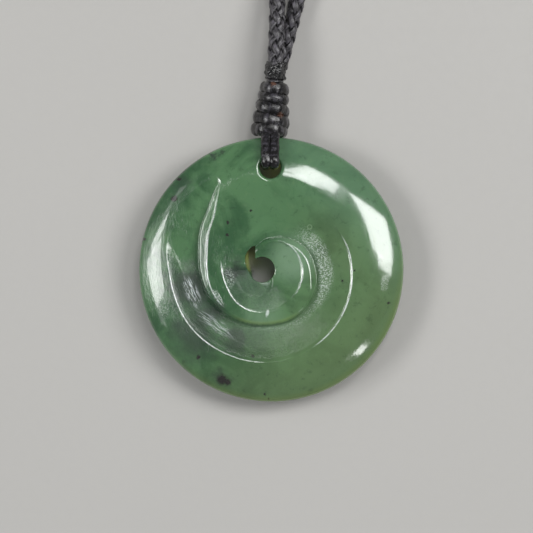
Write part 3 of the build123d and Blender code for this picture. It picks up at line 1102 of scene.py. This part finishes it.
def fibre_group():
    """Shared node group of the waxed threads: fine fibres that run along a strand, a slower
    patchiness, and how near the strand's sides a place is."""
    name = "Waxed fibres"
    if name in bpy.data.node_groups:
        return bpy.data.node_groups[name]
    group = bpy.data.node_groups.new(name, "ShaderNodeTree")
    for label, kind in (("Along", "Vector"), ("Fibres", "Float"), ("Twist", "Float")):
        group.interface.new_socket(label, in_out="INPUT", socket_type="NodeSocket" + kind)
    for label in ("Height", "Patches", "Edge"):
        group.interface.new_socket(label, in_out="OUTPUT", socket_type="NodeSocketFloat")
    graph = Graph(group)
    given = group.nodes.new("NodeGroupInput").outputs
    length, share = graph.node("SeparateXYZ", {0: given["Along"]}).outputs[:2]
    lean = graph.times(length, given["Twist"])
    across = graph.times(graph.plus(share, lean), given["Fibres"])
    coords = graph.node("CombineXYZ", {0: across, 1: graph.times(length, 0.7)}).outputs[0]
    off_middle = graph.maths("ABSOLUTE", graph.minus(share, 0.5))
    graph.wire(group.nodes.new("NodeGroupOutput"), {
        "Height": graph.noise(coords, 1.0, 4.0, 0.6),
        "Patches": graph.noise(given["Along"], 1.6, 3.0, 0.6),
        "Edge": graph.fit(off_middle, 0.2, 0.42),
    })
    return group


def new_material(name):
    """A new material, the graph of its tree and its Principled BSDF."""
    material = bpy.data.materials.new(name)
    material.use_nodes = True
    return material, Graph(material.node_tree), material.node_tree.nodes["Principled BSDF"]


def tint(red, green, blue):
    """A colour from the usual 0 to 255 scale as linear light."""
    parts = [((value / 255 + 0.055) / 1.055) ** 2.4 for value in (red, green, blue)]
    return (*parts, 1.0)


def jade_ground(graph, coords, fine, look):
    """The stone's colour: a broad mottle of two greens, warm towards the lower right, bright
    round the eye, partly as a painted highlight, and cool towards the top, with fine flecks, a
    cloud and specks."""
    broad = graph.noise(coords, 130.0, 5.0, 0.6, 0.8)
    x, y = graph.node("SeparateXYZ", {0: coords}).outputs[:2]
    warm = graph.fit(graph.minus(x, y), -0.004, 0.026, 0.0, 0.75)
    warm = graph.plus(warm, graph.times(graph.blot(coords, 9.0, 5.0, 9.0, 0.1), 0.35))
    # the bright zone round the eye is partly the stone's tone and partly a painted highlight
    under_eye = graph.times(graph.blot(coords, -1.4, -7.0, 4.5, 0.1), 0.55)
    by_eye = graph.larger(graph.blot(coords, 3.2, 1.6, 5.0, 0.2), under_eye)
    return graph.layers(
        graph.mix(graph.fit(broad, 0.36, 0.64), look.deep, look.pale),
        (warm, look.warm),
        (graph.times(by_eye, 0.85), look.bright),
        (graph.fit(graph.plus(y, x), 0.012, 0.024, 0.0, 0.6), look.cool),
        (graph.fit(fine, 0.55, 0.72, 0.0, 0.28), tint(104, 134, 92)),
        (graph.fit(fine, 0.45, 0.30, 0.0, 0.35), tint(26, 52, 32)),
        (graph.blots(graph.ragged(coords, 330.0, 6.5, 6.0), CLOUDS, 0.25), look.cloud),
        (graph.blots(graph.ragged(coords, 2400.0, 0.7), SPECKS, 0.35), tint(40, 38, 33)),
    )


def jade_wear_and_painted_light(graph, coords, colour, tooled, patchy, scratch):
    """The stone's colour where it was worked, with light painted in: thin places get a painted
    yellow-green glow of light through them, carved floors are duller, ground places get white
    grit painted as their sparkle, and crests get painted highlights. Painted glints lie along
    the carving tool's marks in the valley, and there is a pale ring round a tiny pit."""
    # white grit, painted as ground stone and as the sparkle of light on it
    grit = graph.fit(graph.noise(coords, 4800.0, 2.0, 0.7), 0.46, 0.64, 0.0, 0.95)
    # noise that breaks up the painted highlights along the crests
    crest_breaks = graph.fit(graph.noise(coords, 1500.0, 4.0, 0.7), 0.35, 0.55, 0.35, 0.95)
    # pale strokes along the tool marks in the valley, painted as glints
    glint_strokes = []
    for key, patch in (("scored_glint", SCORED_GLINT), ("brushed_glint", BRUSHED_GLINT)):
        turned = graph.place(coords, rotation=(0, 0, math.radians(-patch[-1])))
        marks = graph.noise(graph.place(turned, scale=(0.13, 1, 0.1)), 4200.0, 4.0, 0.7)
        marks = graph.times(graph.mask(key), graph.fit(marks, 0.47, 0.6, 0.0, 0.95))
        glint_strokes.append((marks, tint(222, 230, 230)))
    ring = graph.minus(graph.blot(coords, *PIT, 0.46, 0.6), graph.blot(coords, *PIT, 0.34, 0.5))
    return graph.layers(
        colour,
        (graph.times(graph.mask("thin"), 0.35), tint(120, 138, 66)),
        (graph.times(tooled, graph.fit(scratch, 0.4, 0.62, 0.0, 0.35)), tint(54, 74, 60)),
        (graph.times(graph.times(graph.mask("frost_and_sparkle"), grit), patchy), tint(186, 200, 188)),
        (graph.times(graph.mask("crest"), crest_breaks), tint(228, 236, 232)),
        *glint_strokes,
        (graph.times(ring, 0.5, clamp=True), tint(150, 176, 140)),
    )


def jade(look):
    """Polished greenstone, duller and scratched in the carving, with painted highlights, painted
    sparkle and painted glints, and an emission that paints light behind the walls of the slit
    and the small hole."""
    material, graph, shader = new_material("jade")
    coords = graph.coords()
    fine = graph.noise(coords, 900.0, 6.0, 0.7, 0.4)
    scratch = graph.noise(graph.place(coords, scale=(1, 1, 0.2)), 2600.0, 5.0, 0.75)
    patchy = graph.fit(graph.noise(coords, 700.0, 4.0, 0.65), 0.42, 0.6, 0.75, 1.0)
    tooled = graph.times(graph.mask("tooled"), patchy)
    colour = jade_ground(graph, coords, fine, look)
    colour = jade_wear_and_painted_light(graph, coords, colour, tooled, patchy, scratch)
    smear = graph.noise(coords, 420.0, 4.0, 0.6)
    rough = graph.plus(graph.fit(smear, 0.4, 0.7, 0.0, 0.06), look.polish)

    # a slow wave, fine grain, hairlines that grow towards the lower left, and tool marks
    wave = graph.noise(coords, 330.0, 3.0, 0.5)
    lift = graph.plus(graph.times(wave, 0.6), graph.times(fine, 0.06))
    slanted = graph.place(coords, scale=(1, 0.25, 0.5), rotation=(0, 0, 0.9))
    hairs = graph.noise(slanted, 4200.0, 3.0, 0.65)
    x, y = graph.node("SeparateXYZ", {0: coords}).outputs[:2]
    worn = graph.fit(graph.plus(x, graph.times(y, 0.45)), 0.003, -0.013, 0.3, 1.5)
    lift = graph.plus(lift, graph.times(hairs, worn))
    lift = graph.plus(lift, graph.times(scratch, graph.times(tooled, 5.0)))
    graph.wire(shader, {
        "Base Color": colour,
        # a painted glow of light through the walls of the slit and the small hole, as emission
        "Emission Color": graph.mix(graph.mask("glow"), tint(0, 0, 0), tint(128, 138, 62)),
        "Emission Strength": 0.9,
        "Roughness": graph.plus(rough, graph.times(tooled, 0.28), clamp=True),
        "IOR": 1.62,
        "Coat Weight": graph.fit(tooled, 0.0, 0.8, 1.0, 0.1),
        "Coat IOR": 1.55,
        "Coat Roughness": 0.06,
        "Subsurface Weight": 0.25,
        "Subsurface Radius": (0.7, 1.0, 0.5),
        "Subsurface Scale": 0.0012,
        "Normal": graph.bump(lift, 0.00005),
    })
    return material


def thread(name, colour, shade, flakes=()):
    """Waxed thread: fibres that run along each strand, with painted shade in their grooves and
    along the strand's sides, and patches where the wax is rubbed shiny, and a pale sheen
    painted on for the wax's reflections, partly wax bloom. A few brown flakes may be caught in it."""
    rough, fibres, twist, depth, sheen_and_bloom = THREADS[name]
    material, graph, shader = new_material(name)
    along = graph.node("UVMap", uv_map="along").outputs[0]
    inputs = {"Along": along, "Fibres": fibres, "Twist": twist}
    group = graph.node("Group", inputs, node_tree=fibre_group())
    height, patches, edge = group.outputs
    # a pale sheen painted on the fibres' tops for the wax's reflections, partly wax bloom
    pale = graph.fit(patches, 0.46, 0.66, 0.0, sheen_and_bloom)
    pale = graph.times(pale, graph.fit(height, 0.3, 0.6))
    # painted shade along the strand's sides, where it meets its neighbours
    coats = [(pale, tint(112, 106, 122)), (graph.times(edge, 0.9), shade)]
    if flakes:
        torn = graph.ragged(graph.coords(), 2200.0, 1.3)
        coats.append((graph.blots(torn, flakes, 0.3), tint(94, 66, 54)))
    # painted shade in the fibres' grooves
    mixed = graph.mix(graph.fit(height, 0.35, 0.65), shade, colour)
    graph.wire(shader, {
        "Base Color": graph.layers(mixed, *coats),
        "Roughness": graph.plus(graph.fit(patches, 0.35, 0.65, -0.12, 0.12), rough),
        "Coat Weight": graph.fit(patches, 0.42, 0.6, 0.0, 0.6),
        "Coat Roughness": rough,
        "Normal": graph.bump(height, depth),
    })
    return material


def melted_wax(colour):
    """Thread ends melted to a glossy black lump with a fine sparkle."""
    material, graph, shader = new_material("melted_wax")
    coords = graph.coords()
    lumps = graph.noise(coords, 900.0, 4.0, 0.6, 0.6)
    grain = graph.noise(coords, 3800.0, 4.0, 0.65)
    graph.wire(shader, {
        "Base Color": graph.mix(graph.fit(grain, 0.4, 0.7), tint(5, 5, 6), colour),
        "Roughness": graph.fit(lumps, 0.35, 0.7, 0.16, 0.34),
        "Normal": graph.bump(graph.plus(lumps, graph.times(grain, 0.12)), 0.00012),
    })
    return material


def table_top(colour):
    """Pale painted table with a faint unevenness."""
    material, graph, shader = new_material("table_top")
    coords = graph.coords()
    cloud = graph.noise(coords, 6.0, 4.0, 0.6)
    fine = graph.noise(coords, 700.0, 3.0, 0.6)
    low = (*(value * 0.93 for value in colour[:3]), 1.0)
    graph.wire(shader, {
        "Base Color": graph.mix(cloud, low, colour),
        "Roughness": graph.fit(fine, 0.3, 0.7, 0.55, 0.75),
        "Normal": graph.bump(fine, 0.00005, 0.3),
    })
    return material


# The stage

def add_light(name, azimuth, tilt, width, height, roll, brightness):
    """A soft panel at a compass angle and a tilt from straight up, aimed at the stone and
    rolled about that line."""
    data = bpy.data.lights.new(name, "AREA")
    data.shape = "RECTANGLE"
    data.size, data.size_y = width, height
    data.energy = brightness * width * height
    turn, lean = math.radians(azimuth), math.radians(tilt)
    level = math.sin(lean)
    away = Vector((level * math.cos(turn), level * math.sin(turn), math.cos(lean)))
    along = Vector((-math.sin(turn), math.cos(turn), 0))
    facing = Matrix((along, away.cross(along), away)).transposed()
    lamp = bpy.data.objects.new(name, data)
    lamp.rotation_euler = (facing @ Matrix.Rotation(math.radians(roll), 3, "Z")).to_euler()
    lamp.location = away * LIGHT_REACH
    lamp.visible_camera = False
    bpy.context.scene.collection.objects.link(lamp)


def table_disc():
    """Points, quads and middle triangles of a level disc of rings below the stone."""
    around = np.linspace(0, 2 * math.pi, TABLE_SIDES, endpoint=False)
    flat = TABLE_RINGS[:, None, None] * np.stack([np.cos(around), np.sin(around)], -1)
    points = np.append(flat.reshape(-1, 2), [[0, 0]], 0)
    points = np.column_stack([points, np.full(len(points), -TABLE_DROP)])
    index = np.arange(len(points) - 1).reshape(-1, TABLE_SIDES)
    centre = np.full(TABLE_SIDES, len(points) - 1)
    fan = np.stack([centre, index[0], np.roll(index[0], -1)], -1)
    return points, grid_quads(index.T), fan


# Settings

def colour_setting(name, description, value):
    """A colour property."""
    return FloatVectorProperty(
        name=name, description=description, size=4, subtype="COLOR", min=0, max=1,
        default=value,
    )


def length_setting(name, description, value, low, high):
    """A length property, in metres."""
    return FloatProperty(
        name=name, description=description, default=value, min=low, max=high,
        subtype="DISTANCE", unit="LENGTH",
    )


class KoruStoneLook(PropertyGroup):
    """Colours and polish of the stone."""

    deep: colour_setting("Deep green", "Darker green of the mottle", tint(48, 88, 53))
    pale: colour_setting("Pale green", "Lighter green of the mottle", tint(82, 122, 81))
    warm: colour_setting("Warm green", "Olive towards the lower right", tint(98, 122, 79))
    cool: colour_setting("Cool green", "Bluish green towards the top right", tint(98, 134, 102))
    bright: colour_setting("Bright green", "Bright bluish green round the eye", tint(122, 154, 122))
    cloud: colour_setting("Cloud", "Grey-black cloud in the stone", tint(40, 46, 44))
    polish: FloatProperty(
        name="Roughness", description="Roughness of the polish", default=0.08, min=0.02,
        max=0.8, subtype="FACTOR",
    )


class KoruCordLook(PropertyGroup):
    """Colours of the cords and the make of the plait."""

    waxed: colour_setting("Waxed thread", "Loop and binding", tint(32, 30, 30))
    # the groove colours here and for the plait are painted shade, in the fibres' grooves and along
    # the strands' sides
    groove: colour_setting("Thread grooves", "Loop and binding, in the grooves", tint(6, 5, 6))
    wax: colour_setting("Melted wax", "Collar", tint(38, 37, 37))
    plait: colour_setting("Plait", "Neck cord", tint(90, 87, 91))
    plait_groove: colour_setting("Plait grooves", "Neck cord, in the grooves", tint(13, 12, 13))
    strands: IntProperty(
        name="Strands", description="Strands in the plait, half wound each way", default=8,
        min=4, max=16, step=2,
    )
    lead: length_setting(
        "Lead", "Length of cord in which a strand goes once round", 9.6 * MM, 0.004, 0.03
    )


class KoruStageLook(PropertyGroup):
    """Camera, floor and lights."""

    seen: length_setting("Width seen", "Width of table in the picture", 80.6 * MM, 0.02, 1.0)
    height: length_setting(
        "Camera height", "Height of the camera over the stone", 0.6, 0.1, 3.0
    )
    strength: FloatProperty(
        name="Light", description="Strength of all lights", default=1.0, min=0.0, max=10.0
    )
    floor: colour_setting("Floor", "Colour of the table", tint(186, 184, 180))


# Operators

class KORU_OT_disc(Operator):
    """Build the carved stone disc"""

    bl_idname = "koru.disc"
    bl_label = "Koru disc"

    def execute(self, context):
        points, quads, normals = stone_surface()
        masks = stone_masks(points)
        piece = make_piece("carved_koru", points, quads, normals=normals, attributes=masks)
        finish_piece(piece, jade(context.scene.koru_stone), "koru_disc")
        return {"FINISHED"}


class KORU_OT_loop(Operator):
    """Build the hanging loop's two waxed strands"""

    bl_idname = "koru.loop"
    bl_label = "Hanging loop"

    def execute(self, context):
        look = context.scene.koru_cord
        material = thread("loop_thread", look.waxed, look.groove)
        add_cord("loop_strands", hanging_strands(), material, "hanging_loop")
        return {"FINISHED"}


class KORU_OT_binding(Operator):
    """Build the wound turns of the binding"""

    bl_idname = "koru.binding"
    bl_label = "Binding"

    def execute(self, context):
        look = context.scene.koru_cord
        material = thread("binding_thread", look.waxed, look.groove, FLAKES)
        add_cord("wound_turns", wound_cord(), material, "binding")
        return {"FINISHED"}


class KORU_OT_collar(Operator):
    """Build the melted collar"""

    bl_idname = "koru.collar"
    bl_label = "End collar"

    def execute(self, context):
        material = melted_wax(context.scene.koru_cord.wax)
        add_cord("melted_collar", collar_surface(), material, "end_collar")
        return {"FINISHED"}


class KORU_OT_plait(Operator):
    """Build the plaited neck cord"""

    bl_idname = "koru.plait"
    bl_label = "Neck cord"

    def execute(self, context):
        look = context.scene.koru_cord
        tubes = plait_strands(look.strands, look.lead / MM)
        material = thread("plait_thread", look.plait, look.plait_groove)
        add_cord("plaited_strands", tubes, material, "neck_cord")
        return {"FINISHED"}


class KORU_OT_stage(Operator):
    """Build the table, the lights and the camera"""

    bl_idname = "koru.stage"
    bl_label = "Stage"

    def execute(self, context):
        scene = context.scene
        look = scene.koru_stage
        table = make_piece("table", *table_disc())
        table.data.materials.append(table_top(look.floor))

        scene.world = bpy.data.worlds.new("studio")
        scene.world.use_nodes = True
        background = scene.world.node_tree.nodes["Background"]
        background.inputs["Color"].default_value = SKY_COLOUR
        background.inputs["Strength"].default_value = SKY_STRENGTH * look.strength
        for *setting, brightness in LIGHTS:
            add_light(*setting, brightness * look.strength)

        data = bpy.data.cameras.new("camera")
        data.sensor_width = 36.0
        data.lens = data.sensor_width * look.height / look.seen
        data.clip_start, data.clip_end = 0.01, 20.0
        scene.camera = bpy.data.objects.new("camera", data)
        scene.camera.location = Vector(CAMERA_PLACE) + Vector((0, 0, look.height))
        scene.collection.objects.link(scene.camera)
        scene.view_settings.view_transform = "Standard"
        return {"FINISHED"}


class KORU_PT_panel(Panel):
    """Lists the pieces and their settings"""

    bl_idname = "KORU_PT_panel"
    bl_label = "Koru Pendant"
    bl_space_type = "VIEW_3D"
    bl_region_type = "UI"
    bl_category = "Koru"

    def draw(self, context):
        for operator in OPERATORS:
            self.layout.operator(operator.bl_idname)
        for group in (context.scene.koru_stone, context.scene.koru_cord, context.scene.koru_stage):
            for key in group.__annotations__:
                self.layout.prop(group, key)


OPERATORS = (
    KORU_OT_stage,
    KORU_OT_disc,
    KORU_OT_loop,
    KORU_OT_binding,
    KORU_OT_collar,
    KORU_OT_plait,
)
GROUPS = {
    "koru_stone": KoruStoneLook,
    "koru_cord": KoruCordLook,
    "koru_stage": KoruStageLook,
}


def register():
    """Makes the operators, the panel and the settings known."""
    for group in GROUPS.values():
        bpy.utils.register_class(group)
    for operator in OPERATORS:
        bpy.utils.register_class(operator)
    bpy.utils.register_class(KORU_PT_panel)
    for key, group in GROUPS.items():
        setattr(bpy.types.Scene, key, PointerProperty(type=group))


def unregister():
    """Takes them away again."""
    for key in GROUPS:
        delattr(bpy.types.Scene, key)
    bpy.utils.unregister_class(KORU_PT_panel)
    for operator in reversed(OPERATORS):
        bpy.utils.unregister_class(operator)
    for group in reversed(GROUPS.values()):
        bpy.utils.unregister_class(group)


def main():
    """Builds every piece in order."""
    register()
    bpy.ops.koru.stage()
    bpy.ops.koru.disc()
    bpy.ops.koru.loop()
    bpy.ops.koru.binding()
    bpy.ops.koru.collar()
    bpy.ops.koru.plait()


if __name__ == "__main__":
    main()
